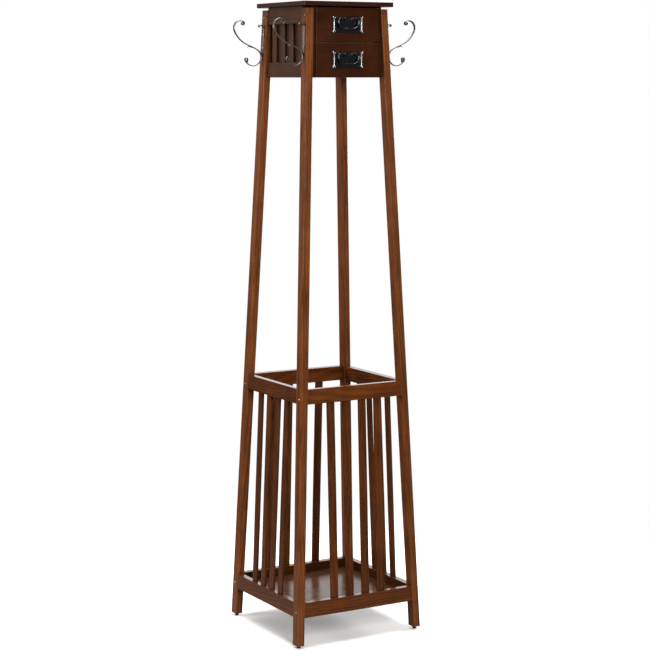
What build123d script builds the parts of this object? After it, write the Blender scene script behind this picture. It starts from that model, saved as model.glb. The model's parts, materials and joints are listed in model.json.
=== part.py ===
from build123d import *
import os
from math import hypot

# Hall tree with hooks: four leaning legs carry a small two-drawer case at the top and an open
# slatted cage for umbrellas at the bottom. Millimetres, +Z up, +Y to the back, origin on the
# floor at the centre of the footprint.

os.makedirs("parts", exist_ok=True)

# ---- driving dimensions -------------------------------------------------------------------

overall_height = 1829.0
foot_spread = 415.4  # across the legs' outer faces, at the floor
head_spread = 263.6  # across the legs' outer faces, at their tops

leg_width = 22.0  # along X
leg_depth = 31.0  # along Y
leg_round = 1.8
head_gap = 6.0  # leg tops stop this far under the top board
glide_height = 9.0
glide_radius = 6.0
glide_round = 1.5

board_thickness = 13.0
board_overhang_x = 13.2
board_overhang_y = 10.2
board_round = 1.6

rail_thickness = 19.3
rail_round = 1.2
bottom_rail_low = 88.5
bottom_rail_height = 43.5
mid_rail_low = 700.0
mid_rail_height = 43.0

cage_slat_count = 4
cage_slat_width = 24.0
cage_slat_thickness = 7.0
cage_slat_pitch = 52.0
slat_round = 1.0

shelf_thickness = 6.0
shelf_clearance = 0.3
cleat_height = 10.0
cleat_width = 12.0

case_height = 198.5
case_inset = 2.8  # case faces stand inside the leg faces by this much at the leg tops
case_upper_rail_height = 48.0
case_lower_rail_height = 42.5
case_rail_thickness = 12.0
case_slat_count = 4
case_slat_width = 22.0
case_slat_thickness = 6.0
case_slat_end_gap = 16.5612  # slat to leg, where the slats meet the upper rail
case_slat_recess = 5.0
liner_thickness = 4.0
post_min_width = 6.8  # a post's width at the leg tops, where it is narrowest
post_inset = 5.0  # posts and back panel stand inside the case faces
back_panel_thickness = 6.0
case_floor_thickness = 8.0
divider_thickness = 8.0
guide_height = 12.0

drawer_front_thickness = 14.0
drawer_front_round = 1.6
drawer_side_gap = 1.0  # front to post
drawer_top_gap = 3.0
drawer_middle_gap = 2.0
drawer_bottom_gap = 1.0
drawer_box_inset = 2.5  # box side stands inside the front's end
drawer_wall = 9.0
drawer_bottom_thickness = 4.0
drawer_bottom_lift = 5.0
drawer_slide_clearance = 0.3
drawer_guide_clearance = 0.5
drawer_head_clearance = 6.0
drawer_back_clearance = 6.0

frame_screw_radius = 2.0
frame_screw_head_radius = 4.2
frame_screw_head_height = 2.0
frame_screw_head_round = 1.4
frame_screw_bite = 18.0  # into a rail's end
case_screw_bite = 5.5  # into a case post
frame_screw_from_face = 13.0  # in from the leg's front or back face
case_screw_drop = 20.0  # below the leg tops
mid_screw_rise = 13.0
bottom_screw_rise = 15.5
screw_clearance = 0.05
screw_tip_clearance = 0.5

hook_height = 1680.0  # where the scroll touches its strap
hook_bar_thickness = 3.4
hook_bar_width = 9.0
hook_neck_width = 5.0
hook_strap_thickness = 3.0
hook_strap_width = 10.0
hook_strap_tip = -3.0
hook_strap_point = 9.0  # length of the strap's pointed foot
hook_strap_curl = (14.0, 9.5)  # end of the strap's curl, out from the leg and above the strap
hook_strap_curl_lap = 2.0  # the curl starts this far below the strap's end
hook_strap_bead_drop = 1.0  # the curl's bead hangs this far under the curl's end
hook_strap_bead_radius = 3.0
hook_strap_sink = 0.2  # how deep the scroll sits in the strap
hook_strap_length = 79.0
hook_curl_radius = 4.6
# scroll points: out from where the scroll touches the strap, and up from there
hook_belly = ((24.8, -28.6), (0.0, -3.8), (13.5, 18.3))
hook_upper_bends = ((43.6, 30.9), (88.6, 70.0), (70.2, 99.5), (62.0, 91.5))
hook_lower_bends = ((51.0, -14.0), (45.0, -5.0))
# the scroll seen face on: heights, and the widths there
hook_top = 112.0
hook_wide_rise = 88.0
hook_neck_rise = 32.0
hook_low = -40.0
hook_low_width = 7.0
hook_reach = 130.0  # more than the scroll stands out from the leg
hook_screw_radius = 1.5
hook_screw_head_radius = 3.0
hook_screw_head_height = 1.2
hook_screw_length = 16.0
hook_screw_heights = (24.0, 62.0)

pull_width = 102.0
pull_height = 49.0
pull_plate_thickness = 2.5
pull_edge_thickness = 4.0
pull_edge_width = 6.0
pull_edge_inset = 1.0
pull_knob_radius = 4.5
pull_knob_rise = 0.5  # knobs stand this far over the raised ends
pull_boss_cover = 1.0  # boss left over a screw's tip
pull_boss_inset = 0.5
pull_hinge_rise = 16.0  # hinge line above the pull's centre
pull_hinge_reach = 6.0  # hinge line in front of the plate
pull_post_spacing = 36.0
ear_spacing = 9.2
ear_thickness = 3.0
ear_radius = 4.6
ear_root = 1.0  # how deep an ear is set into the plate
bail_bar_radius = 2.4
bail_clearance = 0.3
bail_width = 70.0
bail_drop = 31.0
bail_foot_width = 44.0
bail_pin_overrun = 1.5
pull_screw_radius = 1.9
pull_screw_head_radius = 4.0
pull_screw_head_height = 2.4
pull_screw_bite = 3.5
pull_screw_tip_clearance = 0.2

# ---- sizes worked out from those ----------------------------------------------------------

board_underside = overall_height - board_thickness
leg_top = board_underside - head_gap
lean = (foot_spread - head_spread) / 2 / leg_top  # inward run for each millimetre of rise
slope = hypot(1.0, lean)  # length along a leaning face for each millimetre of rise
bottom_rail_high = bottom_rail_low + bottom_rail_height
mid_rail_high = mid_rail_low + mid_rail_height

case_bottom = board_underside - case_height
case_half = head_spread / 2 - case_inset
post_inner = head_spread / 2 - leg_width - post_min_width
post_face = case_half - post_inset
liner_outer = case_half - case_rail_thickness
liner_inner = liner_outer - liner_thickness
shelf_half_depth = head_spread / 2 - leg_depth  # case boards pass between the legs here
back_panel_inner = post_face - back_panel_thickness

front_back_face = case_half - drawer_front_thickness
drawer_gaps = drawer_top_gap + drawer_middle_gap + drawer_bottom_gap
drawer_front_height = (case_height - drawer_gaps) / 2
drawer_front_half = post_inner - drawer_side_gap
drawer_box_half = drawer_front_half - drawer_box_inset
split_height = case_bottom + drawer_bottom_gap + drawer_front_height + drawer_middle_gap / 2
case_floor_top = case_bottom + case_floor_thickness
divider_top = split_height + divider_thickness / 2
drawer_bay_height = split_height - divider_thickness / 2 - case_floor_top
drawer_box_height = drawer_bay_height - drawer_slide_clearance - drawer_head_clearance
drawer_box_back = back_panel_inner - drawer_back_clearance
guide_inner = drawer_box_half + drawer_guide_clearance

hinge_y = -(case_half + pull_plate_thickness + pull_hinge_reach)


def half_at(height):
    """Half the spread of the legs' outer faces at a height above the floor."""
    return foot_spread / 2 - lean * height


case_corner = half_at(case_bottom) - leg_depth  # leg's inner Y face where the case starts

sides = {"front": 0, "right": 90, "back": 180, "left": 270}
corners = {
    "front_left": (-1, -1),
    "front_right": (1, -1),
    "back_left": (-1, 1),
    "back_right": (1, 1),
}


def save(piece, label):
    piece.part.label = label
    export_step(piece.part, f"parts/{label}.step")


def leaning_plane(side):
    """Plane of a cage side's outer face: x along the side, y up the slope, z outwards."""
    base = Plane(origin=(0, -foot_spread / 2, 0), x_dir=(1, 0, 0), z_dir=(0, -1, lean))
    spin = Location((0, 0, 0), (0, 0, 1), sides[side])
    return Plane(spin * base.location)


def rail_half(side, height):
    """Half the length of a rail between the legs, at a height."""
    leg_size = leg_width if side in ("front", "back") else leg_depth
    return half_at(height) - leg_size


def leg_face_plane(across, along, height, from_face):
    """Plane on a leg's outer X face: z outwards, y up the leg."""
    origin = (across * half_at(height), along * (half_at(height) - from_face), height)
    outwards = Vector(across, 0, lean)
    upwards = Vector(-across * lean, -along * lean, 1)
    return Plane(origin=origin, x_dir=upwards.cross(outwards), z_dir=outwards)


# ---- screws that hold the legs ------------------------------------------------------------

screw_heights = {
    "bottom": bottom_rail_low + bottom_screw_rise,
    "mid": mid_rail_low + mid_screw_rise,
    "case": leg_top - case_screw_drop,
}
screw_bites = {
    "bottom": frame_screw_bite,
    "mid": frame_screw_bite,
    "case": case_screw_bite,
}


def screw_plane(corner, level):
    across, along = corners[corner]
    return leg_face_plane(across, along, screw_heights[level], frame_screw_from_face)


def screw_reach(level):
    return leg_width + screw_bites[level]


def drill_screw_holes(corner, levels):
    """Cuts the clearance holes of one leg's screws into the part being built."""
    for level in levels:
        with Locations(screw_plane(corner, level)):
            Hole(frame_screw_radius + screw_clearance, depth=screw_reach(level) + screw_tip_clearance)


def hook_screw_plane(corner, rise):
    across, along = corners[corner]
    strap = leg_face_plane(across, along, hook_height, leg_depth / 2).offset(hook_strap_thickness)
    return Plane(origin=strap.from_local_coords((0, rise, 0)), x_dir=strap.x_dir, z_dir=strap.z_dir)


# ---- legs ---------------------------------------------------------------------------------

for corner, (across, along) in corners.items():
    leg_length = leg_top - glide_height
    start = half_at(glide_height)
    with BuildPart() as leg:
        with BuildSketch(Plane.XY.offset(glide_height)):
            with Locations((across * (start - leg_width / 2), along * (start - leg_depth / 2))):
                Rectangle(leg_width, leg_depth)
        leg_direction = Vector(-across * lean, -along * lean, 1)
        extrude(amount=leg_length * leg_direction.length, dir=leg_direction)
        long_edges = leg.edges().filter_by(Axis((0, 0, 0), leg_direction))
        fillet(long_edges, leg_round)
        drill_screw_holes(corner, screw_heights)
        for rise in hook_screw_heights:
            with Locations(hook_screw_plane(corner, rise)):
                Hole(hook_screw_radius + screw_clearance, depth=hook_screw_length + screw_tip_clearance)
    save(leg, f"leg_{corner}")

# ---- glides under the legs ----------------------------------------------------------------

with BuildPart() as glide:
    Cylinder(glide_radius, glide_height, align=(Align.CENTER, Align.CENTER, Align.MIN))
    fillet(glide.edges().group_by(Axis.Z)[0], glide_round)

with BuildPart() as glides:
    for across, along in corners.values():
        glide_x = across * (half_at(glide_height) - leg_width / 2)
        glide_y = along * (half_at(glide_height) - leg_depth / 2)
        with Locations((glide_x, glide_y, 0)):
            add(glide.part)
save(glides, "glides")

# ---- rails of the cage --------------------------------------------------------------------


def make_rail(side, low, high, level):
    """A rail between two legs, its ends cut to the legs' lean."""
    plane = leaning_plane(side)
    low_half = rail_half(side, low)
    high_half = rail_half(side, high)
    with BuildPart() as rail:
        with BuildSketch(plane):
            Polygon(
                (-low_half, low * slope),
                (low_half, low * slope),
                (high_half, high * slope),
                (-high_half, high * slope),
                align=None,
            )
        extrude(amount=-rail_thickness)
        fillet(rail.edges().filter_by(Axis((0, 0, 0), plane.x_dir)), rail_round)
        for corner, (_, along) in corners.items():
            if side == ("front" if along < 0 else "back"):
                drill_screw_holes(corner, [level])
    return rail


for side in sides:
    save(make_rail(side, bottom_rail_low, bottom_rail_high, "bottom"), f"bottom_rail_{side}")
    save(make_rail(side, mid_rail_low, mid_rail_high, "mid"), f"mid_rail_{side}")

# ---- slats of the cage --------------------------------------------------------------------

for side in sides:
    plane = leaning_plane(side)
    slat_recess = (rail_thickness - cage_slat_thickness) / 2
    slat_length = (mid_rail_low - bottom_rail_high) * slope
    slat_middle = (mid_rail_low + bottom_rail_high) / 2 * slope
    with BuildPart() as cage_slats:
        with BuildSketch(plane.offset(-slat_recess)):
            with Locations((0, slat_middle)):
                with GridLocations(cage_slat_pitch, 1, cage_slat_count, 1):
                    Rectangle(cage_slat_width, slat_length)
        extrude(amount=-cage_slat_thickness)
        fillet(cage_slats.edges().filter_by(Axis((0, 0, 0), plane.y_dir)), slat_round)
    save(cage_slats, f"cage_slats_{side}")

# ---- bottom shelf and its cleats ----------------------------------------------------------

shelf_bottom = bottom_rail_low + cleat_height
shelf_top = shelf_bottom + shelf_thickness
shelf_corner = half_at(shelf_top)
shelf_half = shelf_corner - rail_thickness * slope - shelf_clearance
notch_x = shelf_corner - leg_width - shelf_clearance
notch_y = shelf_corner - leg_depth - shelf_clearance

with BuildPart() as bottom_shelf:
    with BuildSketch(Plane.XY.offset(shelf_bottom)):
        Rectangle(2 * shelf_half, 2 * shelf_half)
        with GridLocations(notch_x + shelf_corner, notch_y + shelf_corner, 2, 2):
            Rectangle(shelf_corner - notch_x, shelf_corner - notch_y, mode=Mode.SUBTRACT)
    extrude(amount=shelf_thickness)
save(bottom_shelf, "bottom_shelf")

cleat_outer = half_at(shelf_bottom) - rail_thickness * slope
with BuildPart() as shelf_cleats:
    with BuildSketch(Plane.XY.offset(bottom_rail_low)):
        with GridLocations(1, 2 * cleat_outer - cleat_width, 1, 2):
            Rectangle(2 * notch_x - 2 * cleat_width, cleat_width)
        with GridLocations(2 * cleat_outer - cleat_width, 1, 2, 1):
            Rectangle(cleat_width, 2 * notch_y - 2 * cleat_width)
    extrude(amount=cleat_height)
save(shelf_cleats, "shelf_cleats")

# ---- top board ----------------------------------------------------------------------------

with BuildPart() as top_board:
    with BuildSketch(Plane.XY.offset(board_underside)):
        Rectangle(head_spread + 2 * board_overhang_x, head_spread + 2 * board_overhang_y)
    extrude(amount=board_thickness)
    fillet(top_board.edges(), board_round)
save(top_board, "top_board")

# ---- case: sides --------------------------------------------------------------------------


def side_outline(low, high):
    """Corners between the front and back legs, in a plane with x along Y and y along Z."""
    low_half = half_at(low) - leg_depth
    high_half = half_at(high) - leg_depth
    return [(-low_half, low), (low_half, low), (high_half, high), (-high_half, high)]


def side_plane(across, distance):
    """Plane square to X at a distance from the centre, z outwards, y up."""
    return Plane(origin=(across * distance, 0, 0), x_dir=(0, across, 0), z_dir=(across, 0, 0))


case_lower_rail_high = case_bottom + case_lower_rail_height
case_upper_rail_low = board_underside - case_upper_rail_height
case_slats_half = half_at(case_upper_rail_low) - leg_depth - case_slat_end_gap
case_slat_pitch = (2 * case_slats_half - case_slat_width) / (case_slat_count - 1)

for name, across in {"left": -1, "right": 1}.items():
    with BuildPart() as case_lower_rail:
        with BuildSketch(side_plane(across, liner_outer)):
            Polygon(*side_outline(case_bottom, case_lower_rail_high), align=None)
        extrude(amount=case_rail_thickness)
        fillet(case_lower_rail.edges().filter_by(Axis.Y), rail_round)
    save(case_lower_rail, f"case_lower_rail_{name}")

    with BuildPart() as case_upper_rail:
        with BuildSketch(side_plane(across, liner_outer)):
            Polygon(*side_outline(case_upper_rail_low, board_underside), align=None)
        extrude(amount=case_rail_thickness)
        fillet(case_upper_rail.edges().filter_by(Axis.Y), rail_round)
    save(case_upper_rail, f"case_upper_rail_{name}")

    with BuildPart() as case_slats:
        with BuildSketch(side_plane(across, case_half - case_slat_recess)):
            with Locations((0, (case_lower_rail_high + case_upper_rail_low) / 2)):
                with GridLocations(case_slat_pitch, 1, case_slat_count, 1):
                    Rectangle(case_slat_width, case_upper_rail_low - case_lower_rail_high)
        extrude(amount=-case_slat_thickness)
        fillet(case_slats.edges().filter_by(Axis.Z), slat_round)
    save(case_slats, f"case_slats_{name}")

    with BuildPart() as case_liner:
        with BuildSketch(side_plane(across, liner_inner)):
            Polygon(*side_outline(case_bottom, board_underside), align=None)
        extrude(amount=liner_thickness)
    save(case_liner, f"case_liner_{name}")

# ---- case: posts against the legs, back panel ---------------------------------------------

for corner, (across, along) in corners.items():
    low_leg = half_at(case_bottom) - leg_width
    high_leg = half_at(board_underside) - leg_width
    post_start = case_corner if along < 0 else -post_face
    with BuildPart() as case_post:
        with BuildSketch(Plane.XZ.offset(post_start)):
            Polygon(
                (across * post_inner, case_bottom),
                (across * low_leg, case_bottom),
                (across * high_leg, board_underside),
                (across * post_inner, board_underside),
                align=None,
            )
        extrude(amount=post_face - case_corner)
        drill_screw_holes(corner, ["case"])
    save(case_post, f"case_post_{corner}")

with BuildPart() as case_back_panel:
    with BuildSketch(Plane.XZ.offset(-back_panel_inner)):
        with Locations((0, (case_bottom + board_underside) / 2)):
            Rectangle(2 * post_inner, case_height)
    extrude(amount=-back_panel_thickness)
save(case_back_panel, "case_back_panel")

# ---- case: floor, divider and drawer guides -----------------------------------------------


def make_case_board(underside, thickness):
    """A board across the case, with tongues between the front and the back posts."""
    front_edge = front_back_face - drawer_slide_clearance
    tongue = front_edge + back_panel_inner
    with BuildPart() as board:
        with BuildSketch(Plane.XY.offset(underside)):
            Rectangle(2 * liner_inner, 2 * shelf_half_depth)
            with Locations((0, (back_panel_inner - front_edge) / 2)):
                Rectangle(2 * post_inner, tongue)
        extrude(amount=thickness)
    return board


save(make_case_board(case_bottom, case_floor_thickness), "case_floor")
save(make_case_board(divider_top - divider_thickness, divider_thickness), "drawer_divider")

for name, seat in {"lower": case_floor_top, "upper": divider_top}.items():
    guide_width = liner_inner - guide_inner
    with BuildPart() as drawer_guides:
        with BuildSketch(Plane.XY.offset(seat)):
            with GridLocations(guide_inner + liner_inner, 1, 2, 1):
                Rectangle(guide_width, 2 * shelf_half_depth)
        extrude(amount=guide_height)
    save(drawer_guides, f"{name}_drawer_guides")

# ---- drawers ------------------------------------------------------------------------------

front_centres = {
    "lower": case_bottom + drawer_bottom_gap + drawer_front_height / 2,
    "upper": board_underside - drawer_top_gap - drawer_front_height / 2,
}
box_bottoms = {
    "lower": case_floor_top + drawer_slide_clearance,
    "upper": divider_top + drawer_slide_clearance,
}


def pull_screw_locations(name):
    """The two screws of a pull, on the front's inner face, pointing into the drawer."""
    hinge_height = front_centres[name] + pull_hinge_rise
    inner_face = Plane(origin=(0, -front_back_face, hinge_height), x_dir=(1, 0, 0), z_dir=(0, 1, 0))
    offsets = (-pull_post_spacing / 2, pull_post_spacing / 2)
    return [inner_face * Location((offset, 0, 0)) for offset in offsets]


for name, centre in front_centres.items():
    box_bottom = box_bottoms[name]
    box_length = front_back_face + drawer_box_back
    box_middle = (drawer_box_back - front_back_face) / 2
    inner_half = drawer_box_half - drawer_wall

    with BuildPart() as drawer_front:
        with BuildSketch(Plane.XZ.offset(front_back_face)):
            with Locations((0, centre)):
                Rectangle(2 * drawer_front_half, drawer_front_height)
        extrude(amount=drawer_front_thickness)
        face_edges = drawer_front.faces().sort_by(Axis.Y)[0].edges()
        fillet(face_edges, drawer_front_round)
        with Locations(*pull_screw_locations(name)):
            Hole(pull_screw_radius + screw_clearance, depth=2 * drawer_front_thickness)
    save(drawer_front, f"{name}_drawer_front")

    for hand, across in {"left": -1, "right": 1}.items():
        with BuildPart() as drawer_side:
            with BuildSketch(Plane.XY.offset(box_bottom)):
                with Locations((across * (drawer_box_half - drawer_wall / 2), box_middle)):
                    Rectangle(drawer_wall, box_length)
            extrude(amount=drawer_box_height)
        save(drawer_side, f"{name}_drawer_side_{hand}")

    with BuildPart() as drawer_back:
        with BuildSketch(Plane.XY.offset(box_bottom)):
            with Locations((0, drawer_box_back - drawer_wall / 2)):
                Rectangle(2 * inner_half, drawer_wall)
        extrude(amount=drawer_box_height)
    save(drawer_back, f"{name}_drawer_back")

    with BuildPart() as drawer_bottom:
        with BuildSketch(Plane.XY.offset(box_bottom + drawer_bottom_lift)):
            with Locations((0, box_middle - drawer_wall / 2)):
                Rectangle(2 * inner_half, box_length - drawer_wall)
        extrude(amount=drawer_bottom_thickness)
    save(drawer_bottom, f"{name}_drawer_bottom")

# ---- drawer pulls -------------------------------------------------------------------------

ear_offsets = (-ear_spacing / 2, ear_spacing / 2)
ear_centres = [
    side * pull_post_spacing / 2 + offset for side in (-1, 1) for offset in ear_offsets
]
ear_hole = bail_bar_radius + bail_clearance
boss_height = pull_screw_bite + pull_boss_cover - pull_plate_thickness


def make_pull_plate(name):
    """Cast plate with raised ends, four corner knobs and two pairs of hinge ears."""
    centre = front_centres[name]
    face = Plane(origin=(0, -case_half, centre), x_dir=(1, 0, 0), z_dir=(0, -1, 0))
    edge_x = (pull_width - pull_edge_width) / 2 - pull_edge_inset
    knob_y = pull_height / 2 - pull_knob_radius
    with BuildPart() as plate:
        with BuildSketch(face):
            Rectangle(pull_width - pull_edge_width, pull_height - pull_knob_radius)
        extrude(amount=pull_plate_thickness)
        with BuildSketch(face):
            with GridLocations(2 * edge_x, 1, 2, 1):
                Rectangle(pull_edge_width, 2 * knob_y)
        extrude(amount=pull_edge_thickness)
        with BuildSketch(face):
            with GridLocations(pull_width - 2 * pull_knob_radius, 2 * knob_y, 2, 2):
                Circle(pull_knob_radius)
        extrude(amount=pull_edge_thickness + pull_knob_rise)
        with BuildSketch(face):
            with Locations((0, pull_hinge_rise)):
                with GridLocations(pull_post_spacing, 1, 2, 1):
                    Rectangle(ear_spacing - ear_thickness, 2 * (ear_radius - pull_boss_inset))
        extrude(amount=pull_plate_thickness + boss_height)
        for ear_x in ear_centres:
            ear_plane = Plane(
                origin=(ear_x - ear_thickness / 2, hinge_y, centre + pull_hinge_rise),
                x_dir=(0, 1, 0),
                z_dir=(1, 0, 0),
            )
            with BuildSketch(ear_plane):
                Circle(ear_radius)
                with Locations(((pull_hinge_reach + ear_root) / 2, 0)):
                    Rectangle(pull_hinge_reach + ear_root, 2 * ear_radius)
                Circle(ear_hole, mode=Mode.SUBTRACT)
            extrude(amount=ear_thickness)
        for location in pull_screw_locations(name):
            with Locations(location):
                reach = drawer_front_thickness + pull_screw_bite + pull_screw_tip_clearance
                Hole(pull_screw_radius + screw_clearance, depth=reach)
    return plate


def make_bail(name):
    """Bent bar: a hanging loop whose two ends turn inwards through the ears."""
    hinge_height = front_centres[name] + pull_hinge_rise
    plane = Plane(origin=(0, hinge_y, hinge_height), x_dir=(1, 0, 0), z_dir=(0, -1, 0))
    pin_end = (pull_post_spacing - ear_spacing - ear_thickness) / 2 - bail_pin_overrun
    arm = bail_width / 2 - bail_bar_radius
    foot = bail_foot_width / 2
    with BuildPart() as bail:
        with BuildLine(plane) as path:
            FilletPolyline(
                (-pin_end, 0),
                (-arm, 0),
                (-arm, -bail_drop / 2),
                (-foot, -bail_drop),
                (foot, -bail_drop),
                (arm, -bail_drop / 2),
                (arm, 0),
                (pin_end, 0),
                radius=2 * bail_bar_radius,
            )
        start = Plane(origin=path.line @ 0, z_dir=path.line % 0)
        with BuildSketch(start):
            Circle(bail_bar_radius)
        sweep()
    return bail


with BuildPart() as pull_screw:
    Cylinder(pull_screw_head_radius, pull_screw_head_height,
             align=(Align.CENTER, Align.CENTER, Align.MIN))
    Cylinder(pull_screw_radius, drawer_front_thickness + pull_screw_bite,
             align=(Align.CENTER, Align.CENTER, Align.MAX))

for name in front_centres:
    save(make_pull_plate(name), f"{name}_pull_plate")
    save(make_bail(name), f"{name}_pull_bail")
    with BuildPart() as pull_screws:
        with Locations(*pull_screw_locations(name)):
            add(pull_screw.part)
    save(pull_screws, f"{name}_pull_screws")

# ---- coat hooks ---------------------------------------------------------------------------

hook_touch = hook_strap_thickness + hook_bar_thickness / 2 - hook_strap_sink


def hook_planes(corner):
    """Scroll plane, x away from the leg and y up it, and the plane it is seen face on."""
    across, along = corners[corner]
    start = leg_face_plane(across, along, hook_height, leg_depth / 2)
    scroll = Plane(origin=start.origin, x_dir=start.z_dir, z_dir=start.z_dir.cross(start.y_dir))
    return scroll, start


def scroll_points(points):
    """The same points measured out from the leg."""
    return [(hook_touch + out, up) for out, up in points]


def make_hook(corner):
    """Flat bar scroll: upper hook, round belly against the strap, lower hook."""
    scroll, face = hook_planes(corner)
    strap_edge = hook_strap_width / 2
    bar_edge = hook_bar_width / 2
    low_edge = hook_low_width / 2
    curl_out, curl_rise = hook_strap_curl
    curl_top = hook_strap_length + curl_rise
    with BuildPart() as hook:
        with BuildSketch(scroll):
            with BuildLine():
                belly = ThreePointArc(*scroll_points(hook_belly))
                bend = belly
                for point in scroll_points(hook_upper_bends):
                    bend = TangentArc(bend @ 1, point, tangent=bend % 1)
                upper_end = bend @ 1
                heel, tip = scroll_points(hook_lower_bends)
                bend = TangentArc(belly @ 0, heel, tangent=(1, 0))
                TangentArc(bend @ 1, tip, tangent=bend % 1)
            trace(line_width=hook_bar_thickness)
            with Locations(upper_end):
                Circle(hook_curl_radius)
        extrude(amount=bar_edge, both=True)
        with BuildSketch(face):
            with BuildLine():
                Spline(
                    (bar_edge, hook_top),
                    (bar_edge, hook_wide_rise),
                    (hook_neck_width / 2, hook_neck_rise),
                    (bar_edge, 0),
                    (low_edge, hook_low),
                )
                Polyline(
                    (low_edge, hook_low),
                    (0, hook_low),
                    (0, hook_top),
                    (bar_edge, hook_top),
                )
            make_face()
            mirror(about=Plane.YZ)
        extrude(amount=hook_reach, mode=Mode.INTERSECT)
        with BuildSketch(face):
            Polygon(
                (0, hook_strap_tip),
                (strap_edge, hook_strap_tip + hook_strap_point),
                (strap_edge, hook_strap_length),
                (-strap_edge, hook_strap_length),
                (-strap_edge, hook_strap_tip + hook_strap_point),
                align=None,
            )
        extrude(amount=hook_strap_thickness)
        with BuildSketch(scroll):
            with BuildLine():
                TangentArc(
                    (hook_strap_thickness / 2, hook_strap_length - hook_strap_curl_lap),
                    (curl_out, curl_top),
                    tangent=(0, 1),
                )
            trace(line_width=hook_strap_thickness)
            with Locations((curl_out, curl_top - hook_strap_bead_drop)):
                Circle(hook_strap_bead_radius)
        extrude(amount=strap_edge, both=True)
        for rise in hook_screw_heights:
            with Locations(hook_screw_plane(corner, rise)):
                Hole(hook_screw_radius + screw_clearance, depth=2 * hook_strap_thickness)
    return hook


for corner in corners:
    save(make_hook(corner), f"hook_{corner}")

with BuildPart() as hook_screw:
    Cylinder(hook_screw_head_radius, hook_screw_head_height,
             align=(Align.CENTER, Align.CENTER, Align.MIN))
    fillet(hook_screw.edges().group_by(Axis.Z)[-1], hook_screw_head_height / 2)
    Cylinder(hook_screw_radius, hook_screw_length, align=(Align.CENTER, Align.CENTER, Align.MAX))

with BuildPart() as hook_screws:
    for corner in corners:
        for rise in hook_screw_heights:
            with Locations(hook_screw_plane(corner, rise)):
                add(hook_screw.part)
save(hook_screws, "hook_screws")

# ---- frame screws -------------------------------------------------------------------------


def make_frame_screw(level):
    """Round-headed screw, its head's seat at z = 0 and its shank below."""
    with BuildPart() as screw:
        Cylinder(frame_screw_head_radius, frame_screw_head_height,
                 align=(Align.CENTER, Align.CENTER, Align.MIN))
        fillet(screw.edges().group_by(Axis.Z)[-1], frame_screw_head_round)
        Cylinder(frame_screw_radius, screw_reach(level),
                 align=(Align.CENTER, Align.CENTER, Align.MAX))
    return screw


with BuildPart() as frame_screws:
    for level in screw_heights:
        frame_screw = make_frame_screw(level)
        for corner in corners:
            with Locations(screw_plane(corner, level)):
                add(frame_screw.part)
save(frame_screws, "frame_screws")
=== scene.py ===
import json
import math

import bmesh
import bpy
from mathutils import Matrix, Vector


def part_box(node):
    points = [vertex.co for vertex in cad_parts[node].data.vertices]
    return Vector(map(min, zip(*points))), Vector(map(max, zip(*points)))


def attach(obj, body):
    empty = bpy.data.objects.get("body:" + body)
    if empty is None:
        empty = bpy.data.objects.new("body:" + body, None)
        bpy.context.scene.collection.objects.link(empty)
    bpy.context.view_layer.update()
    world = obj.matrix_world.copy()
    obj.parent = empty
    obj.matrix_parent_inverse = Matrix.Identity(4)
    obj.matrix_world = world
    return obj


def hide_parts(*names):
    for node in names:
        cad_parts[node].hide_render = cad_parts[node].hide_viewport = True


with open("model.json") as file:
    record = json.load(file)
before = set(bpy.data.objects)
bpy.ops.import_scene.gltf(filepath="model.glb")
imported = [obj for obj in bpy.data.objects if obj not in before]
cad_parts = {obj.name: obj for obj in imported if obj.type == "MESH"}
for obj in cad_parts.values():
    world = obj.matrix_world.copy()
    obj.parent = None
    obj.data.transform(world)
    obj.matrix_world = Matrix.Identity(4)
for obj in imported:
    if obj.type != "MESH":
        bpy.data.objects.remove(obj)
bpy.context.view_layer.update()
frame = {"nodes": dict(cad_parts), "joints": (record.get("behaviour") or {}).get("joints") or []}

# Hall tree: the CAD wood keeps its shape and gets its finish here.
# The metal pieces and the glides are modelled.
nodes = frame["nodes"]
mm = 0.001
print("frame loaded:", len(nodes), "nodes")


# small helpers for editing by hand

def deselectAll():
    if bpy.context.object and bpy.context.object.mode != "OBJECT":
        bpy.ops.object.mode_set(mode="OBJECT")
    bpy.ops.object.select_all(action="DESELECT")


def editOn(mode="FACE"):
    bpy.ops.object.mode_set(mode="EDIT")
    bpy.ops.mesh.select_mode(type=mode)


def editOff():
    bpy.ops.object.mode_set(mode="OBJECT")


def pick(test, kind="faces"):
    # selects the faces, edges or verts whose middle and normal pass the test
    mesh = bpy.context.object.data
    edit = bmesh.from_edit_mesh(mesh)
    for part in edit.verts[:] + edit.edges[:] + edit.faces[:]:
        part.select_set(False)
    for part in getattr(edit, kind):
        if kind == "verts":
            middle, normal = part.co, part.normal
        elif kind == "edges":
            middle, normal = (part.verts[0].co + part.verts[1].co) / 2, None
        else:
            middle, normal = part.calc_center_median(), part.normal
        if test(middle, normal):
            part.select_set(True)
    edit.select_flush_mode()
    bmesh.update_edit_mesh(mesh)


def applyPlace():
    bpy.ops.object.transform_apply(location=True, rotation=True, scale=True)


def modify(kind, **settings):
    # adds one modifier to the active piece and applies it
    piece = bpy.context.object
    added = piece.modifiers.new(kind.title(), kind)
    for name, value in settings.items():
        setattr(added, name, value)
    bpy.ops.object.modifier_apply(modifier=added.name)


def easeEdges(width, angle):
    # rounds every edge sharper than the angle
    modify("BEVEL", width=width, segments=3, limit_method="ANGLE", angle_limit=math.radians(angle))


def cutWith(cutter, piece):
    # takes the cutter's shape out of the piece
    deselectAll()
    bpy.context.view_layer.objects.active = piece
    piece.select_set(True)
    modify("BOOLEAN", operation="DIFFERENCE", object=cutter, solver="EXACT")
    bpy.data.objects.remove(cutter)


def joinAll(parts):
    deselectAll()
    for part in parts:
        part.select_set(True)
    bpy.context.view_layer.objects.active = parts[0]
    if len(parts) > 1:
        bpy.ops.object.join()
    return bpy.context.object


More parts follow.
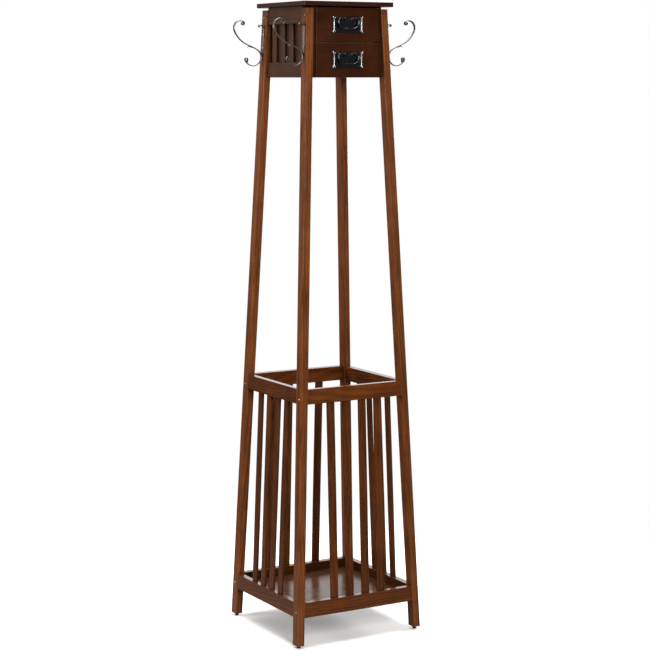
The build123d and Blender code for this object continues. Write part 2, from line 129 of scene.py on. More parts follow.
def cleanUp(angle=35):
    # one closed skin with faces outwards, smooth up to the angle
    editOn("VERT")
    bpy.ops.mesh.select_all(action="SELECT")
    bpy.ops.mesh.remove_doubles(threshold=0.01 * mm)
    bpy.ops.mesh.normals_make_consistent(inside=False)
    editOff()
    bpy.ops.object.shade_smooth_by_angle(angle=math.radians(angle))


def copyTo(piece, place):
    # a copy with its own mesh, its place kept in the mesh
    twin = piece.copy()
    twin.data = piece.data.copy()
    bpy.context.scene.collection.objects.link(twin)
    twin.data.transform(place)
    return twin


def finishPiece(piece, name, body, slotName, material, *replaced):
    piece.name = name
    piece.data.name = name
    piece.data.materials.clear()
    piece.data.materials.append(material)
    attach(piece, body)
    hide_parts(*replaced)
    return piece


def spinProfile(points, steps):
    # turns a profile of (radius, height) points round the Z axis into a closed solid
    deselectAll()
    bpy.ops.mesh.primitive_plane_add(size=mm, location=(0, 0, 0))
    editOn("VERT")
    bpy.ops.mesh.select_all(action="SELECT")
    bpy.ops.mesh.merge(type="CENTER")
    bpy.ops.transform.translate(value=(points[0][0], 0, points[0][1]))
    for (r0, z0), (r1, z1) in zip(points, points[1:]):
        bpy.ops.mesh.extrude_region_move(TRANSFORM_OT_translate={"value": (r1 - r0, 0, z1 - z0)})
    bpy.ops.mesh.select_all(action="SELECT")
    bpy.ops.mesh.spin(steps=steps, angle=math.tau, center=(0, 0, 0), axis=(0, 0, 1))
    editOff()
    cleanUp()
    return bpy.context.object


def arcPoints(centre, radius, start, end, count):
    # points along an arc of a profile, angles in degrees
    angles = [math.radians(start + (end - start) * i / count) for i in range(count + 1)]
    return [(centre[0] + radius * math.cos(a), centre[1] + radius * math.sin(a)) for a in angles]


def drawBar(place, heading, size, bends, stepLength):
    # pulls the selected end face along bends in the XZ plane, as bar is bent on a former
    # a bend is length, turn in degrees, and width and thickness at its end
    place = Vector(place)
    width, thick = size
    for length, turn, endWidth, endThick in bends:
        steps = max(1, round(max(length / stepLength, abs(turn) / 15)))
        wide, slim = (endWidth / width) ** (1 / steps), (endThick / thick) ** (1 / steps)
        for _ in range(steps):
            heading += math.radians(turn / steps / 2)
            move = Vector((math.cos(heading), 0, math.sin(heading))) * length / steps
            heading += math.radians(turn / steps / 2)
            place = place + move
            bpy.ops.mesh.extrude_region_move(TRANSFORM_OT_translate={"value": move})
            bpy.ops.transform.rotate(value=math.radians(turn / steps), orient_axis="Y",
                                     center_override=place)
            bpy.ops.transform.resize(value=(slim, wide, slim), center_override=place)
        width, thick = endWidth, endThick
    return place, heading


# shader helpers

def put(tree, kind, inputs=None, **settings):
    # a shader node with its settings; an input is a value or another node's socket
    node = tree.nodes.new("ShaderNode" + kind)
    for name, value in settings.items():
        setattr(node, name, value)
    for name, value in (inputs or {}).items():
        if isinstance(value, bpy.types.NodeSocket):
            tree.links.new(value, node.inputs[name])
        else:
            node.inputs[name].default_value = value
    return node


def maths(tree, operation, a, b=0.0):
    # one Math node
    return put(tree, "Math", {0: a, 1: b}, operation=operation).outputs[0]


def remap(tree, value, low, high, toLow=0.0, toHigh=1.0):
    return put(tree, "MapRange", {"Value": value, "From Min": low, "From Max": high,
                                  "To Min": toLow, "To Max": toHigh}).outputs["Result"]


def blendColour(tree, factor, a, b, mode="MIX"):
    mixer = put(tree, "Mix", {0: factor, 6: a, 7: b}, data_type="RGBA", blend_type=mode)
    return mixer.outputs[2]


def newGroup(name, takes, gives):
    group = bpy.data.node_groups.new(name, "ShaderNodeTree")
    for socketName, kind, value in takes:
        socket = group.interface.new_socket(socketName, in_out="INPUT", socket_type="NodeSocket" + kind)
        if value is not None:
            socket.default_value = value
    for socketName, kind in gives:
        group.interface.new_socket(socketName, in_out="OUTPUT", socket_type="NodeSocket" + kind)
    start = group.nodes.new("NodeGroupInput")
    end = group.nodes.new("NodeGroupOutput")
    return group, start.outputs, end.inputs


def useGroup(tree, group, **inputs):
    node = tree.nodes.new("ShaderNodeGroup")
    node.node_tree = group
    for name, value in inputs.items():
        if isinstance(value, bpy.types.NodeSocket):
            tree.links.new(value, node.inputs[name])
        else:
            node.inputs[name].default_value = value
    return node.outputs


def newMaterial(name, **shaderValues):
    material = bpy.data.materials.new(name)
    material.use_nodes = True
    tree = material.node_tree
    shader = tree.nodes["Principled BSDF"]
    for socketName, value in shaderValues.items():
        shader.inputs[socketName].default_value = value
    return material, tree, shader


# shared effects

grainPlan = {
    # stretch along the grain, scale, detail, roughness
    "streaks": (0.05, 52.0, 3.0, 0.6),        # broad tone bands
    "lines": (0.015, 420.0, 3.0, 0.7),        # fine grain lines
    "pores": (0.04, 1500.0, 1.0, 0.6),
    "poreCut": (0.6, 0.72),
    "poreColour": (0.008, 0.004, 0.002, 1),
    "sway": {"Scale": 2.2, "Detail": 1.0},    # how the whole grain wanders
    "swayWidth": (0.05, 0.05, 0.0),
    "ringTilt": {"Location": (0.021, 0.034, 0.0), "Rotation": (0.05, 0.035, 0.0)},
    "rings": {"Scale": 38.0, "Distortion": 2.5, "Detail": 2.0, "Detail Scale": 0.6},
    "streakShare": 1.4,
    "lineShare": 0.55,
    "toneSum": 1.8,
    "toneCut": (0.3, 0.7),
    "boardTones": (0.82, 1.14),               # darkest and palest board, against the plain tone
    "lineRelief": 0.5,
}


def buildGrainGroup():
    # stained hardwood; the grain runs along Z of the vector, which is in metres
    plan = grainPlan
    group, take, give = newGroup("woodGrain", [
        ("Vector", "Vector", None), ("Board", "Float", 0.0), ("Light", "Color", (0.2, 0.1, 0.05, 1)),
        ("Dark", "Color", (0.05, 0.02, 0.01, 1)), ("Figure", "Float", 0.5), ("Pores", "Float", 0.4),
    ], [("Colour", "Color"), ("Height", "Float"), ("Matt", "Float")])
    tree = group
    shift = put(tree, "TexWhiteNoise", {"W": take["Board"]}, noise_dimensions="1D")
    moved = put(tree, "VectorMath", {0: take["Vector"], 1: shift.outputs["Color"]}, operation="ADD")
    sway = put(tree, "TexNoise", {"Vector": moved.outputs[0], **plan["sway"]})
    swing = put(tree, "VectorMath", {0: sway.outputs["Color"], 1: plan["swayWidth"]},
                operation="MULTIPLY")
    bent = put(tree, "VectorMath", {0: moved.outputs[0], 1: swing.outputs[0]}, operation="ADD")

    def along(stretch, scale, detail, rough):
        long = put(tree, "Mapping", {"Vector": bent.outputs[0], "Scale": (1.0, 1.0, stretch)})
        return put(tree, "TexNoise", {"Vector": long.outputs[0], "Scale": scale, "Detail": detail,
                                      "Roughness": rough}).outputs["Fac"]

    streaks = along(*plan["streaks"])
    lines = along(*plan["lines"])
    pores = remap(tree, along(*plan["pores"]), *plan["poreCut"])
    tilted = put(tree, "Mapping", {"Vector": bent.outputs[0], **plan["ringTilt"]})
    rings = put(tree, "TexWave", {"Vector": tilted.outputs[0], **plan["rings"]},
                wave_type="RINGS", rings_direction="Z").outputs["Fac"]
    tone = maths(tree, "ADD", maths(tree, "MULTIPLY", streaks, plan["streakShare"]),
                 maths(tree, "MULTIPLY", lines, plan["lineShare"]))
    tone = maths(tree, "ADD", tone, maths(tree, "MULTIPLY", rings, take["Figure"]))
    tone = maths(tree, "DIVIDE", tone, maths(tree, "ADD", take["Figure"], plan["toneSum"]))
    colour = blendColour(tree, remap(tree, tone, *plan["toneCut"]), take["Dark"], take["Light"])
    boardTone = remap(tree, shift.outputs["Value"], 0.0, 1.0, *plan["boardTones"])
    colour = blendColour(tree, 1.0, colour, boardTone, "MULTIPLY")
    poreMask = maths(tree, "MULTIPLY", pores, take["Pores"])
    colour = blendColour(tree, poreMask, colour, plan["poreColour"])
    height = maths(tree, "SUBTRACT", maths(tree, "MULTIPLY", lines, plan["lineRelief"]), pores)
    for socket, value in (("Colour", colour), ("Height", height), ("Matt", lines)):
        tree.links.new(value, give[socket])
    return group


edgeAndCornerPlan = {
    "edgeCut": (0.985, 0.86),     # how far the rounded normal turns where an edge is worn; on the wood this pale edge is also a painted highlight
    "spots": {"Scale": 60.0, "Detail": 3.0},
    "spotCut": (0.35, 0.6),
    "cornerCut": (0.85, 0.35),
}


def buildEdgeGroup():
    # masks of edges and of corners, from the shape itself: the edge mask is wear, and on the wood also a
    # painted highlight; the corner mask is painted shade on the wood and patina in the metal's hollows
    group, take, give = newGroup("edgeAndCorner", [
        ("Width", "Float", 0.0015), ("Reach", "Float", 0.012)],
        [("Edge", "Float"), ("Corner", "Float")])
    tree = group
    rounded = put(tree, "Bevel", {"Radius": take["Width"]}, samples=4)
    flat = put(tree, "NewGeometry")
    match = put(tree, "VectorMath", {0: rounded.outputs[0], 1: flat.outputs["Normal"]},
                operation="DOT_PRODUCT")
    place = put(tree, "TexCoord").outputs["Object"]
    spots = put(tree, "TexNoise", {"Vector": place, **edgeAndCornerPlan["spots"]})
    edge = remap(tree, match.outputs["Value"], *edgeAndCornerPlan["edgeCut"])
    edge = maths(tree, "MULTIPLY", edge, remap(tree, spots.outputs["Fac"], *edgeAndCornerPlan["spotCut"]))
    # ambient occlusion from the neighbouring parts: the source of the painted shade on the wood and of the
    # patina in the metal's hollows
    hollow = put(tree, "AmbientOcclusion", {"Distance": take["Reach"]}, samples=6, only_local=False)
    corner = remap(tree, hollow.outputs["AO"], *edgeAndCornerPlan["cornerCut"])
    tree.links.new(edge, give["Edge"])
    tree.links.new(corner, give["Corner"])
    return group


def buildHandlingGroup():
    # slow change of gloss, as handling and dust leave it
    group, take, give = newGroup("handling", [("Vector", "Vector", None), ("Scale", "Float", 14.0)],
                                 [("Smear", "Float")])
    soft = put(group, "TexNoise", {"Vector": take["Vector"], "Scale": take["Scale"], "Detail": 4.0,
                                   "Roughness": 0.65})
    group.links.new(remap(group, soft.outputs["Fac"], 0.3, 0.7), give["Smear"])
    return group


grainGroup = buildGrainGroup()
edgeGroup = buildEdgeGroup()
handlingGroup = buildHandlingGroup()
print("shader groups built")

# wood

woodTones = {
    # shade is how far, in metres, a neighbour darkens the wood with painted shade
    "frame": {"light": (0.252, 0.075, 0.016, 1), "dark": (0.072, 0.0185, 0.0038, 1),
              "figure": 0.35, "pores": 0.5, "rough": 0.36, "coat": 0.1,
              "topCoat": 0.5, "shine": 0.18, "shade": 0.03, "bump": 0.12},
    "rail": {"light": (0.165, 0.045, 0.008, 1), "dark": (0.06, 0.015, 0.003, 1),
             "figure": 0.4, "pores": 0.5, "rough": 0.34, "coat": 0.08,
             "topCoat": 1.0, "shine": 0.14, "shade": 0.1, "bump": 0.12},
    "slat": {"light": (0.16, 0.046, 0.0095, 1), "dark": (0.052, 0.014, 0.0033, 1),
             "figure": 0.3, "pores": 0.5, "rough": 0.36, "coat": 0.06,
             "topCoat": 0.5, "shine": 0.14, "shade": 0.1, "bump": 0.12},
    "case": {"light": (0.114, 0.037, 0.01, 1), "dark": (0.052, 0.016, 0.0045, 1),
             "figure": 0.4, "pores": 0.5, "rough": 0.36, "coat": 0.08,
             "topCoat": 0.5, "shine": 0.18, "shade": 0.03, "bump": 0.12},
    "top": {"light": (0.04, 0.01, 0.003, 1), "dark": (0.019, 0.005, 0.002, 1),
            "figure": 0.5, "pores": 0.5, "rough": 0.3, "coat": 0.1,
            "topCoat": 0.1, "shine": 0.2, "shade": 0.01, "bump": 0.08},
    "drawer": {"light": (0.056, 0.014, 0.0027, 1), "dark": (0.031, 0.0078, 0.0017, 1),
               "figure": 0.2, "pores": 0.3, "rough": 0.38, "coat": 0.05,
               "topCoat": 0.5, "shine": 0.12, "shade": 0.01, "bump": 0.08},
    "panel": {"light": (0.04, 0.015, 0.007, 1), "dark": (0.018, 0.007, 0.004, 1),
              "figure": 0.4, "pores": 0.3, "rough": 0.45, "coat": 0.05,
              "topCoat": 0.1, "shine": 0.25, "shade": 0.02, "bump": 0.12},
    "shelf": {"light": (0.11, 0.046, 0.02, 1), "dark": (0.036, 0.013, 0.006, 1),
              "figure": 0.5, "pores": 0.4, "rough": 0.24, "coat": 0.15,
              "topCoat": 0.15, "shine": 0.3, "shade": 0.05, "bump": 0.05},
    "inner": {"light": (0.42, 0.27, 0.145, 1), "dark": (0.29, 0.17, 0.085, 1),
              "figure": 0.5, "pores": 0.25, "rough": 0.55, "coat": 0.0,
              "topCoat": 0.0, "shine": 0.3, "shade": 0.02, "bump": 0.15},
}
woodSkin = {
    "coatRoughness": 0.16,
    "edgeWidth": 1.3 * mm,
    "edgeGain": 1.9, "edgePale": 0.05, "edgeShare": 0.7,   # a worn edge is paler by this much; the pale edge is also a painted highlight along the arrises
    # painted shade in corners and between parts: its colour, as a share of the dark tone, and its strength
    "cornerGain": 0.25, "cornerShare": 0.7,
    "blotches": (0.8, 1.16),      # stain taken up unevenly
    "handled": (-0.05, 0.07),     # change of roughness where hands and dust have been
    "lineMatt": (-0.04, 0.04),
    "facingUp": (0.7, 0.98),
    "relief": 0.2 * mm,
}


def scaled(colour, gain, add=0.0):
    return tuple(min(1.0, c * gain + add) for c in colour[:3]) + (1,)


def makeWood(name, tone, turn, board, boardsAlong=None, pitch=1.0):
    # turn lays the grain along the member; boardsAlong gives each slat its own piece of timber
    look, skin = woodTones[tone], woodSkin
    material, tree, shader = newMaterial(name, **{"Coat Roughness": skin["coatRoughness"],
                                                  "Specular IOR Level": look["shine"]})
    place = put(tree, "TexCoord").outputs["Object"]
    grainWay = put(tree, "Mapping", {"Vector": place, "Rotation": turn}).outputs[0]
    number = board
    if boardsAlong is not None:
        axis = put(tree, "SeparateXYZ", {0: place}).outputs[boardsAlong]
        count = maths(tree, "FLOOR", maths(tree, "DIVIDE", axis, pitch))
        number = maths(tree, "ADD", count, board)
    grain = useGroup(tree, grainGroup, Vector=grainWay, Board=number, Light=look["light"],
                     Dark=look["dark"], Figure=look["figure"], Pores=look["pores"])
    marks = useGroup(tree, edgeGroup, Width=skin["edgeWidth"], Reach=look["shade"])
    smear = useGroup(tree, handlingGroup, Vector=place)["Smear"]
    blotch = remap(tree, smear, 0.0, 1.0, *skin["blotches"])
    colour = blendColour(tree, 1.0, grain["Colour"], blotch, "MULTIPLY")
    # pale edges: partly wear, partly a painted highlight along the arrises
    edgeWearAndHighlight = scaled(look["light"], skin["edgeGain"], skin["edgePale"])
    colour = blendColour(tree, maths(tree, "MULTIPLY", marks["Edge"], skin["edgeShare"]), colour, edgeWearAndHighlight)
    # painted shade: the wood turns darker where neighbouring parts are near
    paintedShadeColour = scaled(look["dark"], skin["cornerGain"])
    dark = maths(tree, "MULTIPLY", marks["Corner"], skin["cornerShare"])
    colour = blendColour(tree, dark, colour, paintedShadeColour)
    tree.links.new(colour, shader.inputs["Base Color"])
    handled = remap(tree, smear, 0.0, 1.0, *(look["rough"] + change for change in skin["handled"]))
    rough = maths(tree, "ADD", handled, remap(tree, grain["Matt"], 0.0, 1.0, *skin["lineMatt"]))
    tree.links.new(rough, shader.inputs["Roughness"])
    upwards = put(tree, "SeparateXYZ", {0: put(tree, "NewGeometry").outputs["Normal"]}).outputs["Z"]
    polish = remap(tree, upwards, *skin["facingUp"], look["coat"], look["topCoat"])
    tree.links.new(polish, shader.inputs["Coat Weight"])
    bump = put(tree, "Bump", {"Height": grain["Height"], "Strength": look["bump"],
                              "Distance": skin["relief"]})
    tree.links.new(bump.outputs[0], shader.inputs["Normal"])
    return material


quarter = math.pi / 2
alongX, alongY, alongZ = (0, -quarter, 0), (quarter, 0, 0), (0, 0, 0)


def paintNode(name, material):
    for slotHere in nodes[name].material_slots:
        slotHere.material = material


corners = {"front_left": (-1, -1), "front_right": (1, -1), "back_left": (-1, 1), "back_right": (1, 1)}
sideNames = ("front", "right", "back", "left")
slatPitches = {"cage": 52 * mm, "case": 50 * mm}


def legLine(corner):
    # middle of the leg at its foot and at its head, and its width and depth
    points = [v.co for v in nodes["leg_" + corner].data.vertices]
    low, high = min(p.z for p in points), max(p.z for p in points)
    slack = 0.1 * mm
    foot = [p for p in points if p.z < low + slack]
    head = [p for p in points if p.z > high - slack]
    ends = []
    for group in (foot, head):
        xs, ys = [p.x for p in group], [p.y for p in group]
        ends.append(Vector(((min(xs) + max(xs)) / 2, (min(ys) + max(ys)) / 2, group[0].z)))
    xs, ys = [p.x for p in foot], [p.y for p in foot]
    return ends[0], ends[1], max(xs) - min(xs), max(ys) - min(ys)


def paintWood():
    # the number at the end of each makeWood picks the piece of timber
    for number, corner in enumerate(corners):
        foot, head, _, _ = legLine(corner)
        lean = (head - foot).normalized()
        turn = (math.atan2(lean.y, lean.z), -math.atan2(lean.x, lean.z), 0)
        paintNode("leg_" + corner, makeWood("legWood_" + corner, "frame", turn, 11.0 + number))
    for number, side in enumerate(sideNames):
        across = side in ("front", "back")
        grain = alongX if across else alongY
        for level in ("bottom", "mid"):
            board = 21.0 + number + (4 if level == "mid" else 0)
            paintNode(f"{level}_rail_{side}", makeWood(f"{level}RailWood_{side}", "rail", grain, board))
        slatWood = makeWood("slatWood_" + side, "slat", alongZ, 41.0 + 9 * number,
                            0 if across else 1, slatPitches["cage"])
        paintNode("cage_slats_" + side, slatWood)
    for number, hand in enumerate(("left", "right")):
        lowerWood = makeWood("caseLowerWood_" + hand, "case", alongY, 91.0 + number)
        paintNode("case_lower_rail_" + hand, lowerWood)
        upperWood = makeWood("caseUpperWood_" + hand, "case", alongY, 95.0 + number)
        paintNode("case_upper_rail_" + hand, upperWood)
        slatWood = makeWood("caseSlatWood_" + hand, "case", alongZ, 101.0 + 9 * number,
                            1, slatPitches["case"])
        paintNode("case_slats_" + hand, slatWood)
    panelWood = makeWood("panelWood", "panel", alongZ, 121.0)
    for name in ("case_liner_left", "case_liner_right", "case_back_panel"):
        paintNode(name, panelWood)
    for number, corner in enumerate(corners):
        postWood = makeWood("postWood_" + corner, "drawer", alongZ, 124.0 + number)
        paintNode("case_post_" + corner, postWood)
    paintNode("top_board", makeWood("topWood", "top", alongX, 131.0))
    paintNode("bottom_shelf", makeWood("shelfWood", "shelf", alongX, 141.0))
    paintNode("shelf_cleats", makeWood("cleatWood", "rail", alongX, 143.0))
    innerLong = makeWood("innerWoodAlongY", "inner", alongY, 151.0)
    innerWide = makeWood("innerWoodAlongX", "inner", alongX, 152.0)
    for name in ("case_floor", "drawer_divider"):
        paintNode(name, innerWide)
    for number, drawer in enumerate(("upper", "lower")):
        paintNode(drawer + "_drawer_guides", innerLong)
        frontWood = makeWood(drawer + "FrontWood", "drawer", alongX, 161.0 + number)
        paintNode(drawer + "_drawer_front", frontWood)
        for hand in ("left", "right"):
            paintNode(f"{drawer}_drawer_side_{hand}", innerLong)
        paintNode(drawer + "_drawer_back", innerWide)
        paintNode(drawer + "_drawer_bottom", innerWide)


paintWood()
print("wood painted")

# metal and plastic finishes

metalLooks = {
    "hookIron": {"base": (0.185, 0.185, 0.160, 1), "patina": (0.030, 0.031, 0.026, 1), "metallic": 0.9,
                 "rough": (0.30, 0.5), "grain": 900.0, "bump": 0.3, "edge": 0.6, "coat": 0.0},
    "pullBlack": {"base": (0.004, 0.0045, 0.006, 1), "patina": (0.003, 0.003, 0.004, 1), "metallic": 0.0,
                  "rough": (0.12, 0.2), "grain": 500.0, "bump": 0.03, "edge": 0.3, "coat": 0.5,
                  "rubbed": (0.42, 0.43, 0.46, 1), "rubbedFrom": 41.0 * mm, "rubbedTo": 43.5 * mm,
                  "rubbedMetal": 0.9, "rubbedMatt": 0.07},
    "screwBronze": {"base": (0.62, 0.40, 0.27, 1), "patina": (0.055, 0.022, 0.012, 1), "metallic": 1.0,
                    "rough": (0.22, 0.42), "grain": 1500.0, "bump": 0.15, "edge": 0.5, "coat": 0.0},
    "screwSteel": {"base": (0.38, 0.37, 0.34, 1), "patina": (0.06, 0.06, 0.055, 1), "metallic": 1.0,
                   "rough": (0.25, 0.45), "grain": 1500.0, "bump": 0.15, "edge": 0.5, "coat": 0.0},
    "glideBlack": {"base": (0.012, 0.012, 0.012, 1), "patina": (0.03, 0.028, 0.025, 1), "metallic": 0.0,
                   "rough": (0.42, 0.62), "grain": 1100.0, "bump": 0.2, "edge": 0.2, "coat": 0.0},
}


metalSkin = {
    "coatRoughness": 0.08,
    "edgeWidth": 0.8 * mm,
    "edgeGain": 1.9, "edgePale": 0.01,
    "cornerReach": 6 * mm, "cornerShare": 0.8,
    "patinaScale": 110.0, "patinaShare": 0.35,
    "dentScale": 0.22,            # of the grain
    "relief": 0.4 * mm,
}


def makeMetal(name):
    look, skin = metalLooks[name], metalSkin
    material, tree, shader = newMaterial(name, **{"Metallic": look["metallic"],
                                                  "Coat Weight": look["coat"],
                                                  "Coat Roughness": skin["coatRoughness"]})
    place = put(tree, "TexCoord").outputs["Object"]
    marks = useGroup(tree, edgeGroup, Width=skin["edgeWidth"], Reach=skin["cornerReach"])
    smear = useGroup(tree, handlingGroup, Vector=place, Scale=skin["patinaScale"])["Smear"]
    dark = maths(tree, "ADD", maths(tree, "MULTIPLY", marks["Corner"], skin["cornerShare"]),
                 maths(tree, "MULTIPLY", smear, skin["patinaShare"]))
    dark = put(tree, "Clamp", {0: dark}).outputs[0]
    colour = blendColour(tree, dark, look["base"], look["patina"])
    bright = scaled(look["base"], skin["edgeGain"], skin["edgePale"])
    colour = blendColour(tree, maths(tree, "MULTIPLY", marks["Edge"], look["edge"]), colour, bright)
    rough = remap(tree, smear, 0.0, 1.0, *look["rough"])
    if "rubbed" in look:
        # the black is rubbed through to bare metal on the ends, both ways out from the middle
        out = maths(tree, "ABSOLUTE", put(tree, "SeparateXYZ", {0: place}).outputs["X"])
        bare = remap(tree, out, look["rubbedFrom"], look["rubbedTo"])
        rubbed = blendColour(tree, dark, look["rubbed"], look["patina"])
        colour = blendColour(tree, bare, colour, rubbed)
        tree.links.new(maths(tree, "MULTIPLY", bare, look["rubbedMetal"]), shader.inputs["Metallic"])
        rough = maths(tree, "ADD", rough, maths(tree, "MULTIPLY", bare, look["rubbedMatt"]))
    tree.links.new(colour, shader.inputs["Base Color"])
    tree.links.new(rough, shader.inputs["Roughness"])
    pits = put(tree, "TexNoise", {"Vector": place, "Scale": look["grain"], "Detail": 3.0})
    dents = put(tree, "TexVoronoi", {"Vector": place, "Scale": look["grain"] * skin["dentScale"]},
                feature="SMOOTH_F1")
    height = maths(tree, "ADD", pits.outputs["Fac"], dents.outputs["Distance"])
    bump = put(tree, "Bump", {"Height": height, "Strength": look["bump"],
                              "Distance": skin["relief"]})
    tree.links.new(bump.outputs[0], shader.inputs["Normal"])
    return material


metals = {name: makeMetal(name) for name in metalLooks}
print("metals made")

# coat hooks: flat bar bent to an S, a riveted strap behind it, a leaf under the arm

hookPlan = {
    "height": 1679 * mm,           # where the scroll meets the strap
    "start": (4.6, -3.8),          # belly of the scroll, out from the leg and up it, in mm
    "startHeading": 88.3,          # degrees up from straight out of the leg
    "section": (7.0, 3.0),         # width and thickness of the bar where it is drawn from
    "cornerShare": 0.42,           # its corners' rounding, of the thickness
    "upper": [(27.2, -62.9, 6.0, 3.0), (32.7, -8.8, 5.0, 3.2), (61.2, 45.4, 8.0, 3.2),
              (41.6, 116.6, 10.0, 3.0), (11.7, 37.0, 10.0, 2.8), (7.6, 90.0, 9.6, 2.6),
              (6.9, 90.0, 9.2, 2.3), (5.4, 90.0, 8.8, 2.0), (4.2, 90.0, 8.2, 1.8), (2.2, 60.0, 7.6, 1.6)],
    "lower": [(38.95, 90.0, 7.0, 2.6), (31.3, 58.3, 8.6, 2.6), (2.0, 10.0, 9.4, 2.6),
              (8.4, 112.0, 10.0, 2.6), (5.8, 90.0, 9.8, 2.3), (9.4, 8.0, 8.8, 1.8)],
    "leafStart": (33.0, 21.8),     # under the arm
    "leafHeading": 19.0,
    "leafSection": (3.0, 1.0),
    "leaf": [(5.0, 4.0, 5.4, 2.6), (6.0, -8.0, 6.6, 3.4), (4.0, -34.0, 5.6, 2.4), (5.6, -22.0, 1.8, 0.8)],
    "strapFoot": 6.0,
    "strapSection": (10.0, 3.0),
    "strapUp": [(71.0, 0.0, 10.0, 3.0), (19.0, -94.8, 9.6, 2.8), (5.0, -85.0, 9.2, 2.6),
                (4.0, -90.0, 8.8, 2.2), (2.6, -80.0, 8.2, 1.9)],
    "strapDown": [(4.0, 0.0, 7.0, 2.8), (5.0, 0.0, 1.6, 1.8)],
    "step": 3.0,
}


def startSection(place, size, heading):
    # a flat bar's section, its corners rounded, square to the heading
    width, thick = size
    bpy.ops.mesh.primitive_plane_add(size=1.0, location=(0, 0, 0))
    editOn("VERT")
    bpy.ops.mesh.select_all(action="SELECT")
    bpy.ops.transform.resize(value=(thick, width, 1))
    bpy.ops.mesh.bevel(affect="VERTICES", offset=hookPlan["cornerShare"] * thick, segments=2)
    bpy.ops.mesh.select_mode(type="FACE")
    bpy.ops.mesh.select_all(action="SELECT")
    turn = heading - math.pi / 2   # the plane faces up as it is added
    bpy.ops.transform.rotate(value=turn, orient_axis="Y", center_override=(0, 0, 0))
    bpy.ops.transform.translate(value=(place[0], 0, place[1]))


def bendBar(start, size, heading, bends, otherBends=None):
    # a bar drawn from a start section one way and, if asked, the other way too
    deselectAll()
    startSection(start, size, heading)
    place = (start[0], 0, start[1])
    drawBar(place, heading, size, bends, hookPlan["step"])
    if otherBends:
        way = Vector((math.cos(heading), 0, math.sin(heading)))
        near = 0.3   # in mm, from the start section's middle
        pick(lambda middle, normal: (middle - Vector(place)).length < near and normal.dot(way) < -0.9)
        drawBar(place, heading + math.pi, size, otherBends, hookPlan["step"])
    editOff()
    return bpy.context.object


def modelHook():
    plan = hookPlan
    scroll = bendBar(plan["start"], plan["section"], math.radians(plan["startHeading"]),
                     plan["upper"], plan["lower"])
    leaf = bendBar(plan["leafStart"], plan["leafSection"], math.radians(plan["leafHeading"]),
                   plan["leaf"])
    strapStart = (plan["strapSection"][1] / 2, plan["strapFoot"])
    strap = bendBar(strapStart, plan["strapSection"], quarter, plan["strapUp"], plan["strapDown"])
    for bar in (scroll, leaf, strap):
        deselectAll()
        bpy.context.view_layer.objects.active = bar
        bar.select_set(True)
        bar.scale = (mm, mm, mm)
        applyPlace()
        cleanUp(60)
        modify("SUBSURF", levels=1, render_levels=1)
    hook = joinAll([scroll, leaf, strap])
    bpy.ops.object.shade_smooth_by_angle(angle=math.radians(50))
    return hook


def legFace(corner, height, inFromFace=None):
    # a place on the leg's outer left or right face: X outwards, Z up the leg
    foot, head, width, depth = legLine(corner)
    across, along = corners[corner]
    up = (head - foot).normalized()
    middle = foot + up * ((height - foot.z) / up.z)
    point = middle + Vector((across * width / 2, 0, 0))
    if inFromFace is not None:
        point.y += along * (depth / 2 - inFromFace)
    out = Vector((across, 0, -across * up.x / up.z)).normalized()
    side = up.cross(out).normalized()
    up = out.cross(side)
    return Matrix((
        (out.x, side.x, up.x, point.x),
        (out.y, side.y, up.y, point.y),
        (out.z, side.z, up.z, point.z),
        (0, 0, 0, 1),
    ))


def makeHooks():
    pattern = modelHook()
    for corner in corners:
        hook = copyTo(pattern, legFace(corner, hookPlan["height"]))
        finishPiece(hook, "coatHook_" + corner, "frame", "hook_iron", metals["hookIron"],
                    "hook_" + corner)
    bpy.data.objects.remove(pattern)


makeHooks()
print("hooks bent")

# screws

screwPlans = {
    "frame": {"radius": 4.2, "height": 2.0, "socket": 1.5, "socketDepth": 1.3, "sides": 6},
    "hook": {"radius": 3.0, "height": 1.25, "slot": 0.7, "slotDepth": 0.7},
    "pull": {"radius": 4.0, "height": 2.4, "slot": 0.9, "slotDepth": 1.1},
}
screwShape = {
    "rimShare": 0.25,             # straight rim, of the head's height
    "rimEase": (0.96, 0.4),       # under the rim: radius share, and rise as a share of the rim
    "domeSteps": 7,
    "turnSteps": 28,
    "slotReach": 1.25,            # length of a slot, of the radius
}
screwLevels = {"bottom": 104 * mm, "mid": 713 * mm, "case": 1790 * mm}
screwFromFace = 13 * mm
strapScrewRises = (24 * mm, 62 * mm)
strapThickness = 3 * mm


def modelScrewHead(kind):
    # a domed head standing on z = 0 with its drive cut in
    plan = screwPlans[kind]
    radius, height = plan["radius"] * mm, plan["height"] * mm
    rim = screwShape["rimShare"] * height
    easeRadius, easeRise = screwShape["rimEase"]
    bulge = (radius ** 2 + (height - rim) ** 2) / (2 * (height - rim))
    sweepAngle = math.degrees(math.asin(radius / bulge))
    dome = arcPoints((0, height - bulge), bulge, 90 - sweepAngle, 90, screwShape["domeSteps"])
    dome[-1] = (0, height)
    head = spinProfile([(0, 0), (easeRadius * radius, 0), (radius, easeRise * rim)] + dome,
                       screwShape["turnSteps"])
    deselectAll()
    if "socket" in plan:
        bpy.ops.mesh.primitive_cylinder_add(vertices=plan["sides"], radius=plan["socket"] * mm,
                                            depth=2 * plan["socketDepth"] * mm, location=(0, 0, height))
        cutWith(bpy.context.object, head)
    else:
        for turn in (0, quarter):
            bpy.ops.mesh.primitive_cube_add(size=1, location=(0, 0, height), rotation=(0, 0, turn))
            cutter = bpy.context.object
            cutter.scale = (screwShape["slotReach"] * radius, plan["slot"] * mm,
                            2 * plan["slotDepth"] * mm)
            applyPlace()
            cutWith(cutter, head)
    cleanUp(30)
    return head


outwards = Matrix.Rotation(quarter, 4, "Y")   # a head's Z turned to the leg face's X


